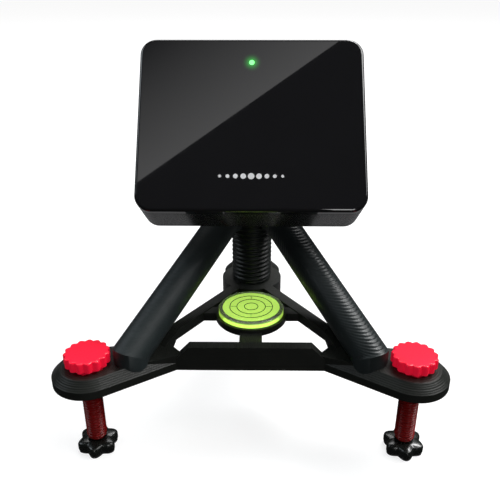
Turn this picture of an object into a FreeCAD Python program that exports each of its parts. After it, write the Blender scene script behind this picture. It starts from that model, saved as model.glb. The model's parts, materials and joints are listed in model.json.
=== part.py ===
import FreeCAD, Part
import math
import os
from FreeCAD import Vector

# Pocket golf launch monitor on a three-legged levelling stand.
# Units are millimetres.  +Z is up, the monitor's face looks towards -Y, and the
# origin is on the ground at the centre of the footprint.

# ---- stance -------------------------------------------------------------------
LEG_X = 62.5            # front leg axes, left and right of centre
LEG_Y = 44.0            # front legs at -LEG_Y, rear leg at +LEG_Y
MAST_Y = 23.0           # axis of the upright column
LEVEL_Y = -9.7          # centre of the bullseye level

# ---- base frame ---------------------------------------------------------------
BASE_Z = 34.0           # underside of the frame above the ground
PAD_TOP = 40.6          # top of the three leg pads
FRAME_TOP = 44.5        # top of the beam, the arms and the mast hub
PAD_R = 14.0            # leg pad radius
PAD_BEVEL = 3.3         # wide bevel round each pad
BEAM_HALF = 29.3        # half length of the front beam
BEAM_FRONT = -38.6
BEAM_BACK = -34.2
BEAM_TOP_HALF = 24.2    # half length of the beam's level top edge
ARM_W = 4.8             # width of the two diagonal arms
ARM_Z0 = 40.2           # underside of the arms, which run over the pads
HUB_R = 14.0            # boss under the mast
CUP_R = 15.3            # wall round the level
STEM_HALF = 4.6         # half width of the stem from the cup to the beam

# ---- legs ---------------------------------------------------------------------
THREAD_R = 4.0          # M8 levelling screw
THREAD_MINOR = 3.45
THREAD_PITCH = 1.25
NUT_AF = 13.0
RUN = 0.05              # radial running clearance
BALL_R = 2.4
BALL_Z = 3.75           # centre of the ball at the foot of each screw
FOOT_R = 8.2
FOOT_NOTCH = 1.9        # depth of the hollows between the six lobes
FOOT_TOP = 5.2
SOLE_T = 1.2
KNOB_R = 8.8
KNOB_Z0 = 41.7
KNOB_Z1 = 46.2
KNOB_LOBES = 15

# ---- struts and mast ----------------------------------------------------------
STRUT_R = 7.1           # round struts
STRUT_FOOT = (46.2, -40.0)
STRUT_Z0 = 37.4         # floor of the pocket that holds a strut's foot
STRUT_KNEE_Z = 43.0     # where the upright foot turns into the slope
STRUT_APEX = (30.0, 90.0)   # Y and Z where the two strut axes would meet
STRUT_END = 22.0        # where a strut butts against the head, out from that meeting point
TAB_END = 16.2          # inner end of the tab under the head
TAB_Z = (73.0, 77.0)
MAST_R = 9.25
MAST_RIDGE = 2.1        # ridge spacing on the mast
MAST_TOP = 81.0
HEAD_Z0 = 77.0
HEAD_Z1 = 88.5
WING_Z1 = 85.0
HEAD_R = 12.3

# ---- monitor ------------------------------------------------------------------
MON_W = 88.9
MON_H = 71.1
MON_T = 25.4
MON_CORNER = 6.5
TILT = 36.0             # lean back from upright at rest
MON_Y = -23.9           # bottom front edge of the monitor
MON_Z = 95.9
WALL = 2.0
LENS_T = 4.0            # depth of the front cap
SEAM = 0.4              # gasket between front cap and mid housing
MID_BACK = 21.0         # back of the mid housing
INSERT_V = 40.0         # height of the tripod insert on the back face
HINGE_Y = 20.0          # tilt hinge
HINGE_Z = 97.0
PIN_R = 2.5

ARM_DIR = Vector(45.1, -66.7, 0)
ARM_DIR.normalize()
STRUT_DIR = Vector(STRUT_FOOT[0], STRUT_FOOT[1] - STRUT_APEX[0], 0)
STRUT_RUN = STRUT_DIR.Length
STRUT_DIR.normalize()
LEGS = {"left": (-LEG_X, -LEG_Y), "right": (LEG_X, -LEG_Y), "rear": (0.0, LEG_Y)}


# ---- shape helpers ------------------------------------------------------------
def block(x0, x1, y0, y1, z0, z1):
    return Part.makeBox(x1 - x0, y1 - y0, z1 - z0, Vector(x0, y0, z0))


def post(r, z0, z1, x=0.0, y=0.0):
    return Part.makeCylinder(r, z1 - z0, Vector(x, y, z0))


def rod_x(r, x0, x1, y, z):
    return Part.makeCylinder(r, x1 - x0, Vector(x0, y, z), Vector(1, 0, 0))


def rod_y(r, y0, y1, x, z):
    return Part.makeCylinder(r, y1 - y0, Vector(x, y0, z), Vector(0, 1, 0))


def join(shapes):
    result = shapes[0]
    for shape in shapes[1:]:
        result = result.fuse(shape)
    return result.removeSplitter()


def prism(points, direction):
    wire = Part.makePolygon([Vector(*p) for p in points] + [Vector(*points[0])])
    return Part.Face(wire).extrude(direction)


def hex_post(across_flats, z0, z1, x=0.0, y=0.0):
    radius = across_flats / math.sqrt(3.0)
    points = []
    for i in range(6):
        angle = math.radians(60 * i + 30)
        points.append((x + radius * math.cos(angle), y + radius * math.sin(angle), z0))
    return prism(points, Vector(0, 0, z1 - z0))


def turned(profile, x=0.0, y=0.0):
    wire = Part.makePolygon([Vector(r, 0, z) for r, z in profile + profile[:1]])
    shape = Part.Face(wire).revolve(Vector(0, 0, 0), Vector(0, 0, 1), 360)
    shape.translate(Vector(x, y, 0))
    return shape


def rounded_outline(x0, x1, z0, z1, r, y):
    h = r * (1 - math.sqrt(0.5))
    edges = [
        Part.makeLine(Vector(x0 + r, y, z0), Vector(x1 - r, y, z0)),
        Part.Arc(Vector(x1 - r, y, z0), Vector(x1 - h, y, z0 + h), Vector(x1, y, z0 + r)).toShape(),
        Part.makeLine(Vector(x1, y, z0 + r), Vector(x1, y, z1 - r)),
        Part.Arc(Vector(x1, y, z1 - r), Vector(x1 - h, y, z1 - h), Vector(x1 - r, y, z1)).toShape(),
        Part.makeLine(Vector(x1 - r, y, z1), Vector(x0 + r, y, z1)),
        Part.Arc(Vector(x0 + r, y, z1), Vector(x0 + h, y, z1 - h), Vector(x0, y, z1 - r)).toShape(),
        Part.makeLine(Vector(x0, y, z1 - r), Vector(x0, y, z0 + r)),
        Part.Arc(Vector(x0, y, z0 + r), Vector(x0 + h, y, z0 + h), Vector(x0 + r, y, z0)).toShape(),
    ]
    return Part.Wire(edges)


def rounded_slab(x0, x1, z0, z1, r, y0, y1):
    face = Part.Face(rounded_outline(x0, x1, z0, z1, r, y0))
    return face.extrude(Vector(0, y1 - y0, 0))


def lobed_post(radius, depth, lobes, z0, z1, edge=0.0, x=0.0, y=0.0):
    points = []
    count = lobes * 8
    for i in range(count):
        angle = 2 * math.pi * i / count
        r = radius - depth * 0.5 * (1 - math.cos(lobes * angle))
        points.append(Vector(x + r * math.cos(angle), y + r * math.sin(angle), z0))
    curve = Part.BSplineCurve()
    curve.interpolate(Points=points, PeriodicFlag=True)
    face = Part.Face(Part.Wire(curve.toShape()))
    solid = face.extrude(Vector(0, 0, z1 - z0))
    if edge > 0:
        rims = [e for e in solid.Edges if abs(e.BoundBox.ZMax - e.BoundBox.ZMin) < 1e-6]
        solid = solid.makeChamfer(edge, rims)
    return solid


def mirrored(shape):
    return shape.mirror(Vector(0, 0, 0), Vector(1, 0, 0))


def radial(profile, width, direction, start_y, side):
    """Extrude a profile of (distance out, z) to a bar along a level direction from the centre line."""
    points = [(r, -width / 2, z) for r, z in profile]
    bar = prism(points, Vector(0, width, 0))
    bar.rotate(Vector(0, 0, 0), Vector(0, 0, 1), math.degrees(math.atan2(direction.y, direction.x)))
    bar.translate(Vector(0, start_y, 0))
    return bar if side > 0 else mirrored(bar)


def half_space(point, normal):
    cube = Part.makeBox(300, 300, 300, Vector(-150, -150, 0))
    cube.Placement = FreeCAD.Placement(point, FreeCAD.Rotation(Vector(0, 0, 1), normal))
    return cube


def to_monitor(shape):
    """Place a piece drawn upright (face at y = 0, bottom at z = 0) in the leaning monitor."""
    placed = shape.copy()
    placed.rotate(Vector(0, 0, 0), Vector(1, 0, 0), -TILT)
    placed.translate(Vector(0, MON_Y, MON_Z))
    return placed


def hinge_in_monitor():
    """Tilt hinge as (depth behind the face, height up the face)."""
    t = math.radians(TILT)
    dy = HINGE_Y - MON_Y
    dz = HINGE_Z - MON_Z
    return dy * math.cos(t) - dz * math.sin(t), dy * math.sin(t) + dz * math.cos(t)


# ---- base ---------------------------------------------------------------------
def tangent_point(cx, cy, r, px, py, side):
    d = math.hypot(px - cx, py - cy)
    toward = math.atan2(py - cy, px - cx)
    angle = toward + side * math.acos(r / d)
    return Vector(cx + r * math.cos(angle), cy + r * math.sin(angle), BASE_Z)


def leg_pad():
    """Right front pad: a round end drawn in to the beam's corner and to the arm."""
    cx, cy = LEGS["right"]
    front = Vector(BEAM_HALF, BEAM_FRONT, BASE_Z)
    inner = Vector(BEAM_HALF + 2.4, BEAM_BACK + 3.0, BASE_Z)
    back = Vector(ARM_DIR.x * 60 - ARM_DIR.y * 2.4, MAST_Y + ARM_DIR.y * 60 + ARM_DIR.x * 2.4, BASE_Z)
    buried = Vector(BEAM_HALF - 3, BEAM_FRONT + 1.2, BASE_Z)
    t0 = tangent_point(cx, cy, PAD_R, front.x, front.y, 1)
    t1 = tangent_point(cx, cy, PAD_R, back.x, back.y, -1)
    outer = Vector(cx + PAD_R, cy, BASE_Z)
    wire = Part.Wire([
        Part.makeLine(front, t0),
        Part.Arc(t0, outer, t1).toShape(),
        Part.makeLine(t1, back),
        Part.makeLine(back, inner),
        Part.makeLine(inner, buried),
        Part.makeLine(buried, front),
    ])
    solid = Part.Face(wire).extrude(Vector(0, 0, PAD_TOP - BASE_Z))
    rim = []
    for edge in solid.Edges:
        box = edge.BoundBox
        if box.ZMin > PAD_TOP - 0.01 and box.XMax > BEAM_HALF + 10:
            rim.append(edge)
    return solid.makeChamfer(PAD_BEVEL, rim)


def rear_pad():
    cx, cy = LEGS["rear"]
    solid = post(PAD_R, BASE_Z, PAD_TOP, cx, cy)
    rim = [e for e in solid.Edges if e.BoundBox.ZMin > PAD_TOP - 0.01]
    solid = solid.makeChamfer(PAD_BEVEL, rim)
    return solid.fuse(block(-12.5, 12.5, MAST_Y, cy - 7, BASE_Z, PAD_TOP - PAD_BEVEL))


def along_strut(distance, across, z):
    """Point over the right strut's line: distance out from the meeting point, offset sideways."""
    return Vector(STRUT_DIR.x * distance - STRUT_DIR.y * across,
                  STRUT_APEX[0] + STRUT_DIR.y * distance + STRUT_DIR.x * across, z)


def strut_tab(half_width, d0, d1, z0, z1):
    profile = [(d0, z0), (d1, z0), (d1, z1), (d0, z1)]
    return radial(profile, half_width * 2, STRUT_DIR, STRUT_APEX[0], 1)


def foot_screw_spots():
    spots = []
    for out in (-3.4, 3.4):
        spots.append(along_strut(STRUT_RUN + out, 0, 0))
    return spots


def strut_slope():
    """Knee point of the right strut, and the direction of its bar."""
    knee = Vector(STRUT_FOOT[0], STRUT_FOOT[1], STRUT_KNEE_Z)
    return knee, (Vector(0, STRUT_APEX[0], STRUT_APEX[1]) - knee).normalize()


def strut(side):
    """Round bar with a mitred upright foot, and a flat tab under the head."""
    knee, slope = strut_slope()
    mitre = (slope + Vector(0, 0, 1)).normalize()
    upright = Part.makeCylinder(STRUT_R, 30, Vector(knee.x, knee.y, STRUT_Z0))
    upright = upright.cut(half_space(knee, mitre))
    bar = Part.makeCylinder(STRUT_R, 130, knee - slope * 20, slope)
    bar = bar.cut(half_space(knee, mitre * -1))
    bar = bar.cut(half_space(along_strut(STRUT_END, 0, 0), STRUT_DIR * -1))
    body = join([upright, bar, strut_tab(5.4, TAB_END, STRUT_END + 6, TAB_Z[0], TAB_Z[1])])
    cuts = [post(1.25, STRUT_Z0 - 1, PAD_TOP + 4.5, p.x, p.y) for p in foot_screw_spots()]
    screw = along_strut(19.2, 0, 0)
    cuts.append(post(1.45, TAB_Z[0] - 1, TAB_Z[1] + 1, screw.x, screw.y))
    body = body.cut(cuts)
    return body if side > 0 else mirrored(body)


def strut_screws():
    solids = []
    for spot in foot_screw_spots():
        head = post(2.7, BASE_Z + 0.2, BASE_Z + 2.2, spot.x, spot.y)
        solids.append(head.fuse(post(1.25, BASE_Z + 2.2, PAD_TOP + 4.4, spot.x, spot.y)))
    spot = along_strut(19.2, 0, 0)
    head = post(2.5, TAB_Z[0] - 1.8, TAB_Z[0], spot.x, spot.y)
    solids.append(head.fuse(post(1.3, TAB_Z[0], WING_Z1 - 2.0, spot.x, spot.y)))
    return Part.makeCompound(solids + [mirrored(s) for s in solids])


def base_frame():
    right = leg_pad()
    left = mirrored(right)
    beam = prism([
        (-BEAM_HALF, BEAM_FRONT, BASE_Z),
        (BEAM_HALF, BEAM_FRONT, BASE_Z),
        (BEAM_HALF, BEAM_FRONT, PAD_TOP - 1.5),
        (BEAM_TOP_HALF, BEAM_FRONT, FRAME_TOP),
        (-BEAM_TOP_HALF, BEAM_FRONT, FRAME_TOP),
        (-BEAM_HALF, BEAM_FRONT, PAD_TOP - 1.5),
    ], Vector(0, BEAM_BACK - BEAM_FRONT, 0))
    corner = prism([
        (BEAM_HALF - 0.5, BEAM_FRONT, BASE_Z),
        (BEAM_HALF + 4.0, BEAM_FRONT + 1.0, BASE_Z),
        (BEAM_HALF + 6.5, BEAM_BACK + 7.0, BASE_Z),
        (BEAM_HALF + 2.4, BEAM_BACK + 3.0, BASE_Z),
        (BEAM_HALF - 0.5, BEAM_BACK, BASE_Z),
    ], Vector(0, 0, PAD_TOP - 1.5 - BASE_Z))
    arm_profile = [
        (8, ARM_Z0), (58, ARM_Z0), (60, PAD_TOP - 3.0), (72, PAD_TOP - 3.0), (72, PAD_TOP - 2.0),
        (66, PAD_TOP - 0.4),
        (56.5, FRAME_TOP), (8, FRAME_TOP),
    ]
    arms = [radial(arm_profile, ARM_W, ARM_DIR, MAST_Y, side) for side in (1, -1)]
    hub = post(HUB_R, BASE_Z, FRAME_TOP, 0, MAST_Y)
    cup = turned([
        (0, BASE_Z + 1.0), (5.5, BASE_Z + 1.0), (CUP_R - 0.7, LEVEL_Z0 - 1.6),
        (CUP_R, LEVEL_Z0 - 0.8), (CUP_R, FRAME_TOP - 0.4), (0, FRAME_TOP - 0.4),
    ], 0, LEVEL_Y)
    stem = block(-STEM_HALF, STEM_HALF, BEAM_BACK - 1, LEVEL_Y - 4, BASE_Z + 1.0, FRAME_TOP - 2.0)
    bridge = block(-20.5, 20.5, LEVEL_Y - 2.0, LEVEL_Y + 3.4, FRAME_TOP - 4.1, FRAME_TOP - 0.4)
    pads = [right, left, rear_pad()]
    frame = join(pads + [beam, corner, mirrored(corner)] + arms + [hub, cup, stem, bridge])
    cuts = [post(14.0, LEVEL_Z0, FRAME_TOP + 5, 0, LEVEL_Y)]
    knee, slope = strut_slope()
    notch = Part.makeCylinder(STRUT_R + 0.15, 30, knee, slope)
    cuts += [notch, mirrored(notch)]
    for side in (1, -1):
        cuts.append(post(STRUT_R, STRUT_Z0, PAD_TOP + 9, side * STRUT_FOOT[0], STRUT_FOOT[1]))
        for spot in foot_screw_spots():
            cuts.append(post(1.45, BASE_Z - 1, PAD_TOP, side * spot.x, spot.y))
            cuts.append(post(2.9, BASE_Z - 1, BASE_Z + 2.2, side * spot.x, spot.y))
    for x, y in LEGS.values():
        cuts.append(post(THREAD_R + 0.4, BASE_Z - 1, PAD_TOP + 1, x, y))
        cuts.append(hex_post(NUT_AF, BASE_Z + 0.8, PAD_TOP + 1, x, y))
    cuts.append(post(10.2, PAD_TOP, FRAME_TOP + 1, 0, LEG_Y))
    cuts.append(post(3.2, BASE_Z - 1, FRAME_TOP + 1, 0, MAST_Y))
    cuts.append(hex_post(10.0, BASE_Z - 1, BASE_Z + 4.5, 0, MAST_Y))
    cuts.append(post(7.0, BASE_Z + 6.0, FRAME_TOP + 1, 0, MAST_Y))
    return frame.cut(cuts)


# ---- level --------------------------------------------------------------------
LEVEL_R = 13.9
LEVEL_Z0 = 42.2
LEVEL_Z1 = 46.6
FLUID_R = 12.3
FLUID_Z0 = LEVEL_Z0 + 1.3
FLUID_Z1 = 45.0
BUBBLE_R = 2.6
RINGS = ((2.95, 0.16), (6.15, 0.16), (9.2, 0.16))   # radius, line width


def level_vial():
    shell = turned([
        (0, LEVEL_Z0), (LEVEL_R - 0.3, LEVEL_Z0), (LEVEL_R, LEVEL_Z0 + 0.3), (LEVEL_R, LEVEL_Z1 - 0.5),
        (LEVEL_R - 0.5, LEVEL_Z1), (FLUID_R, LEVEL_Z1), (FLUID_R, FLUID_Z0 - 0.3), (0, FLUID_Z0 - 0.3),
    ], 0, LEVEL_Y)
    return shell


def level_window():
    disc = post(FLUID_R, FLUID_Z1, LEVEL_Z1 - 0.15, 0, LEVEL_Y)
    dome_r = 120.0
    dome = Part.makeSphere(dome_r, Vector(0, LEVEL_Y, FLUID_Z1 + 0.55 - dome_r))
    return disc.cut(dome)


def level_bubble():
    disc = Part.makeSphere(6.0, Vector(0, LEVEL_Y, 0))
    lens = disc.common(block(-7, 7, LEVEL_Y - 7, LEVEL_Y + 7, 6.0 - 0.59, 7))
    lens.translate(Vector(0, 0, FLUID_Z1 - 6.0 + 0.02))
    return lens


def level_fluid():
    disc = post(FLUID_R, FLUID_Z0, FLUID_Z1, 0, LEVEL_Y)
    return disc.cut(level_bubble())


def level_backing():
    return post(FLUID_R, FLUID_Z0 - 0.3, FLUID_Z0, 0, LEVEL_Y)


def level_rings():
    z0 = LEVEL_Z1 - 0.15
    solids = []
    for radius, line in RINGS:
        ring = post(radius + line, z0, z0 + 0.12, 0, LEVEL_Y)
        solids.append(ring.cut(post(radius - line, z0 - 1, z0 + 1, 0, LEVEL_Y)))
    inner = RINGS[1][0] + RINGS[1][1] + 0.05
    outer = RINGS[2][0] - RINGS[2][1] - 0.05
    for x in (-1, 1):
        solids.append(block(min(x * inner, x * outer), max(x * inner, x * outer),
                            LEVEL_Y - 0.1, LEVEL_Y + 0.1, z0, z0 + 0.12))
    solids.append(block(-0.1, 0.1, LEVEL_Y - outer, LEVEL_Y - inner, z0, z0 + 0.12))
    solids.append(block(-0.1, 0.1, LEVEL_Y + inner, LEVEL_Y + outer, z0, z0 + 0.12))
    return Part.makeCompound(solids)


# ---- legs ---------------------------------------------------------------------
def leg_screw(x, y):
    profile = [(0, BALL_Z), (1.7, BALL_Z), (1.7, FOOT_TOP + 0.5), (THREAD_MINOR, FOOT_TOP + 0.9)]
    z = FOOT_TOP + 1.5
    while z + THREAD_PITCH < KNOB_Z0:
        profile.append((THREAD_MINOR, z))
        profile.append((THREAD_R, z + 0.45 * THREAD_PITCH))
        profile.append((THREAD_R, z + 0.60 * THREAD_PITCH))
        z += THREAD_PITCH
    profile += [(THREAD_MINOR, z), (THREAD_MINOR, KNOB_Z1 - 1.6), (0, KNOB_Z1 - 1.6)]
    return turned(profile, x, y).fuse(Part.makeSphere(BALL_R, Vector(x, y, BALL_Z)))


def leg_knob(x, y):
    knob = lobed_post(KNOB_R, 0.75, KNOB_LOBES, KNOB_Z0, KNOB_Z1, 0.5, x, y)
    knob = knob.fuse(post(5.6, KNOB_Z0 - 0.7, KNOB_Z0, x, y))
    return knob.cut(post(THREAD_MINOR, KNOB_Z0 - 2, KNOB_Z1 - 1.6, x, y))


def leg_nuts():
    nuts = []
    for x, y in LEGS.values():
        nut = hex_post(NUT_AF, BASE_Z + 0.8, PAD_TOP - 0.3, x, y)
        nuts.append(nut.cut(post(THREAD_R + RUN, BASE_Z, PAD_TOP + 1, x, y)))
    return Part.makeCompound(nuts)


def foot(x, y):
    body = lobed_post(FOOT_R, FOOT_NOTCH, 6, SOLE_T, FOOT_TOP, 0.6, x, y)
    body.rotate(Vector(x, y, 0), Vector(0, 0, 1), 30)
    body = body.cut(Part.makeSphere(BALL_R + RUN, Vector(x, y, BALL_Z)))
    profile = [(0, BALL_Z), (1.8, BALL_Z), (1.8, FOOT_TOP - 0.5), (3.2, FOOT_TOP + 1), (0, FOOT_TOP + 1)]
    return body.cut(turned(profile, x, y))


def foot_sole(x, y):
    sole = lobed_post(FOOT_R - 0.3, FOOT_NOTCH, 6, 0.0, SOLE_T, 0.25, x, y)
    sole.rotate(Vector(x, y, 0), Vector(0, 0, 1), 30)
    return sole.cut(post(1.6, -1, SOLE_T + 1, x, y))


# ---- mast and head ------------------------------------------------------------
def mast():
    profile = [(3.3, BASE_Z + 6.0), (7.0, BASE_Z + 6.0), (7.0, FRAME_TOP), (MAST_R - 0.5, FRAME_TOP)]
    z = FRAME_TOP
    while z + MAST_RIDGE < MAST_TOP - 0.5:
        profile.append((MAST_R, z + 0.35 * MAST_RIDGE))
        profile.append((MAST_R, z + 0.65 * MAST_RIDGE))
        z += MAST_RIDGE
        profile.append((MAST_R - 0.5, z))
    profile += [(MAST_R - 0.5, MAST_TOP), (3.3, MAST_TOP)]
    return turned(profile, 0, MAST_Y)


def mast_bolt():
    shank = post(3.0, BASE_Z + 0.5, HEAD_Z1 - 2.8, 0, MAST_Y)
    return shank.fuse(hex_post(10.0, BASE_Z + 0.5, BASE_Z + 4.5, 0, MAST_Y))


def mast_nut():
    nut = hex_post(10.0, MAST_TOP, MAST_TOP + 5.0, 0, MAST_Y)
    return nut.cut(post(3.0, MAST_TOP - 1, HEAD_Z1, 0, MAST_Y))


def mast_head():
    drum = turned([
        (0, HEAD_Z0), (HEAD_R - 0.8, HEAD_Z0), (HEAD_R, HEAD_Z0 + 0.8), (HEAD_R, HEAD_Z1 - 1.2),
        (HEAD_R - 1.2, HEAD_Z1), (0, HEAD_Z1),
    ], 0, MAST_Y)
    wing_profile = [
        (8, HEAD_Z0), (STRUT_END, HEAD_Z0), (STRUT_END, WING_Z1 - 1.5),
        (STRUT_END - 1.5, WING_Z1), (8, WING_Z1),
    ]
    wings = [radial(wing_profile, 2 * STRUT_R, STRUT_DIR, STRUT_APEX[0], side) for side in (1, -1)]
    tongue = prism([
        (-5.0, HINGE_Y - 5.5, HINGE_Z), (-5.0, HINGE_Y - 5.5, HEAD_Z1 - 4),
        (-5.0, HINGE_Y + 12.0, HEAD_Z1 - 4),
        (-5.0, HINGE_Y + 12.0, HEAD_Z1), (-5.0, HINGE_Y + 5.5, HINGE_Z),
    ], Vector(10.0, 0, 0))
    head = join([drum] + wings + [tongue, rod_x(5.5, -5.0, 5.0, HINGE_Y, HINGE_Z)])
    cuts = [
        post(MAST_R + 0.02, HEAD_Z0 - 1, MAST_TOP, 0, MAST_Y),
        hex_post(10.0, MAST_TOP - 1, MAST_TOP + 5.0, 0, MAST_Y),
        rod_x(PIN_R + RUN, -6, 6, HINGE_Y, HINGE_Z),
    ]
    spot = along_strut(19.2, 0, 0)
    for side in (1, -1):
        cuts.append(post(1.3, HEAD_Z0 - 1, WING_Z1 - 1.8, side * spot.x, spot.y))
    return head.cut(cuts)


# ---- tilt hinge ---------------------------------------------------------------
PLATE_Y0 = MON_T + 0.5
PLATE_Y1 = PLATE_Y0 + 3.0


def tilt_plate():
    depth, height = hinge_in_monitor()
    plate = rounded_slab(-11.0, 11.0, 12.0, 50.0, 3.0, PLATE_Y0, PLATE_Y1)
    ears = []
    for x0 in (-9.1, 5.1):
        web = prism([
            (x0, PLATE_Y0 + 1, height - 9.0), (x0, PLATE_Y0 + 1, height + 6.8),
            (x0, depth, height + 5.9), (x0, depth, height - 5.9),
        ], Vector(4.0, 0, 0))
        ears.append(web)
        ears.append(rod_x(6.0, x0, x0 + 4.0, depth, height))
    shape = join([plate] + ears)
    shape = shape.cut([
        rod_x(PIN_R, -12, 12, depth, height),
        rod_y(3.3, PLATE_Y0 - 1, PLATE_Y1 + 1, 0, INSERT_V),
    ])
    return to_monitor(shape)


def grip_pad():
    pad = rounded_slab(-11.0, 11.0, 12.0, 50.0, 3.0, MON_T, PLATE_Y0)
    return to_monitor(pad.cut(rod_y(3.3, MON_T - 1, PLATE_Y1, 0, INSERT_V)))


def tilt_pin():
    depth, height = hinge_in_monitor()
    shank = rod_x(PIN_R, -9.1, 19.0, depth, height)
    head = hex_post(8.0, -12.6, -9.1)
    head.rotate(Vector(0, 0, 0), Vector(0, 1, 0), 90)
    head.translate(Vector(0, depth, height))
    return to_monitor(shank.fuse(head))


def tilt_washer():
    depth, height = hinge_in_monitor()
    washer = rod_x(4.6, 9.1, 11.3, depth, height)
    return to_monitor(washer.cut(rod_x(PIN_R, 9, 12, depth, height)))


def tilt_knob():
    depth, height = hinge_in_monitor()
    knob = lobed_post(7.4, 1.1, 8, 11.4, 18.2, 0.6)
    knob = knob.cut(post(PIN_R + RUN, 11, 20))
    knob.rotate(Vector(0, 0, 0), Vector(0, 1, 0), 90)
    knob.translate(Vector(0, depth, height))
    return to_monitor(knob)


def mount_screw():
    shank = rod_y(3.15, PLATE_Y1 - 11.5, PLATE_Y1, 0, INSERT_V)
    head = rod_y(6.4, PLATE_Y1, PLATE_Y1 + 3.2, 0, INSERT_V)
    slot = block(-0.8, 0.8, PLATE_Y1 + 1.6, PLATE_Y1 + 4, INSERT_V - 7, INSERT_V + 7)
    return to_monitor(shank.fuse(head).cut(slot))


# ---- monitor ------------------------------------------------------------------
HALF = MON_W / 2
SCREW_SPOTS = [(x, z) for x in (-38.2, 38.2) for z in (6.6, 64.5)]
BOARD_SPOTS = [(x, z) for x in (-32.0, 32.0) for z in (15.0, 58.0)]
MAIN_SPOTS = [(13.0, 12.0), (31.5, 34.0), (13.0, 55.0)]
LED_V = 60.8
BUTTON_X = 24.0
BUTTON_Y = 14.5
USB_Z = 20.0
CAP_HINGE_X = HALF - 0.95
CAP_HINGE_Z = 13.1


def shell_ring(inset, wall, y0, y1):
    outer = rounded_slab(-HALF + inset, HALF - inset, inset, MON_H - inset, MON_CORNER - inset, y0, y1)
    t = inset + wall
    inner = rounded_slab(-HALF + t, HALF - t, t, MON_H - t, MON_CORNER - t, y0 - 1, y1 + 1)
    return outer.cut(inner)


def front_lens():
    cap = rounded_slab(-HALF, HALF, 0, MON_H, MON_CORNER, 0, LENS_T)
    rim = [e for e in cap.Edges if e.BoundBox.YMax < 0.01]
    cap = cap.makeFillet(1.2, rim)
    inside = MON_CORNER - WALL
    cap = cap.cut(rounded_slab(-HALF + WALL, HALF - WALL, WALL, MON_H - WALL, inside, 1.6, LENS_T + 1))
    return to_monitor(cap.cut(rod_y(1.1, -1, 3, 0, LED_V)))


def housing_gasket():
    return to_monitor(shell_ring(0.5, WALL - 0.5, LENS_T, LENS_T + SEAM))


def mid_housing():
    ring = shell_ring(0, WALL, LENS_T + SEAM, MID_BACK)
    pieces = [ring, shell_ring(WALL - 0.2, 1.7, 8.7, 10.2)]
    for x, z in SCREW_SPOTS:
        pieces.append(rod_y(3.0, 11.8, MID_BACK, x, z))
        side = 1 if x > 0 else -1
        wall_x = side * (HALF - 1)
        pieces.append(block(min(x, wall_x), max(x, wall_x), 11.8, MID_BACK, z - 1, z + 1))
    pieces.append(block(HALF - 3.6, HALF - 1, 7.6, 18.4, 10.6, 29.4))
    body = join(pieces)
    cuts = [rod_y(1.1, 10, MID_BACK + 1, x, z) for x, z in SCREW_SPOTS]
    cuts.append(block(HALF - 1.9, HALF + 1, 8.7, 17.3, 12.0, 28.0))
    cuts.append(block(HALF - 5, HALF, 11.3, 14.9, USB_Z - 4.9, USB_Z + 4.9))
    cuts.append(rod_y(0.4, 7.8, 18.2, CAP_HINGE_X, CAP_HINGE_Z))
    slot = block(BUTTON_X - 3.7, BUTTON_X + 3.7, BUTTON_Y - 2.3, BUTTON_Y + 2.3, MON_H - 3, MON_H + 1)
    cuts.append(slot)
    for side in (-1, 1):
        cuts.append(post(2.3, MON_H - 3, MON_H + 1, BUTTON_X + side * 3.7, BUTTON_Y))
    return to_monitor(body.cut(cuts))


def rear_housing():
    plate = rounded_slab(-HALF, HALF, 0, MON_H, MON_CORNER, MID_BACK, MON_T)
    rim = [e for e in plate.Edges if e.BoundBox.YMin > MON_T - 0.01]
    plate = plate.makeFillet(1.5, rim)
    inside = MON_CORNER - WALL
    hollow = rounded_slab(-HALF + WALL, HALF - WALL, WALL, MON_H - WALL, inside, MID_BACK - 1, MON_T - WALL)
    groove = shell_ring(-1.0, 1.35, MID_BACK - 1, MID_BACK + 0.35)
    body = plate.cut([hollow, groove])
    pieces = [body, rod_y(7.6, 16.2, MON_T - 1, 0, INSERT_V)]
    for x, z in SCREW_SPOTS:
        pieces.append(rod_y(3.0, MID_BACK, MON_T - 1, x, z))
    for angle in range(0, 360, 60):
        rib = block(-0.6, 0.6, 18.5, MON_T - 1, 7.0, 10.6)
        rib.rotate(Vector(0, 0, 0), Vector(0, 1, 0), angle)
        rib.translate(Vector(0, 0, INSERT_V))
        pieces.append(rib)
    body = join(pieces)
    cuts = [rod_y(5.0, 15, MON_T - 0.4, 0, INSERT_V), rod_y(3.6, 15, MON_T + 1, 0, INSERT_V)]
    for x, z in SCREW_SPOTS:
        cuts.append(rod_y(1.3, MID_BACK - 1, MON_T + 1, x, z))
        cuts.append(rod_y(2.3, MON_T - 1.6, MON_T + 1, x, z))
    return to_monitor(body.cut(cuts))


def housing_screws():
    solids = []
    for x, z in SCREW_SPOTS:
        shank = rod_y(1.1, 13.5, MON_T - 1.6, x, z)
        head = rod_y(2.1, MON_T - 1.6, MON_T - 0.3, x, z)
        cross = block(x - 1.2, x + 1.2, MON_T - 1.0, MON_T, z - 0.25, z + 0.25)
        other = block(x - 0.25, x + 0.25, MON_T - 1.0, MON_T, z - 1.2, z + 1.2)
        solids.append(shank.fuse(head).cut([cross, other]))
    return to_monitor(Part.makeCompound(solids))


def inner_frame():
    plate = rounded_slab(-40.6, 40.6, 3.8, 66.8, 3.0, 10.2, 11.7)
    pieces = [plate]
    for x, z in BOARD_SPOTS:
        pieces.append(rod_y(2.6, 7.8, 10.3, x, z))
    for x, z in MAIN_SPOTS:
        pieces.append(rod_y(2.2, 11.6, 14.0, x, z))
    body = join(pieces)
    cuts = [rod_y(0.8, 7, 12.5, x, z) for x, z in BOARD_SPOTS]
    cuts += [rod_y(0.8, 10, 15, x, z) for x, z in MAIN_SPOTS]
    cuts.append(rounded_slab(-7.0, 7.0, 12.0, 28.0, 2.0, 9, 13))
    cuts.append(block(-12.0, 12.0, 9, 13, 60.5, 64.5))
    return to_monitor(body.cut(cuts))


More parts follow.
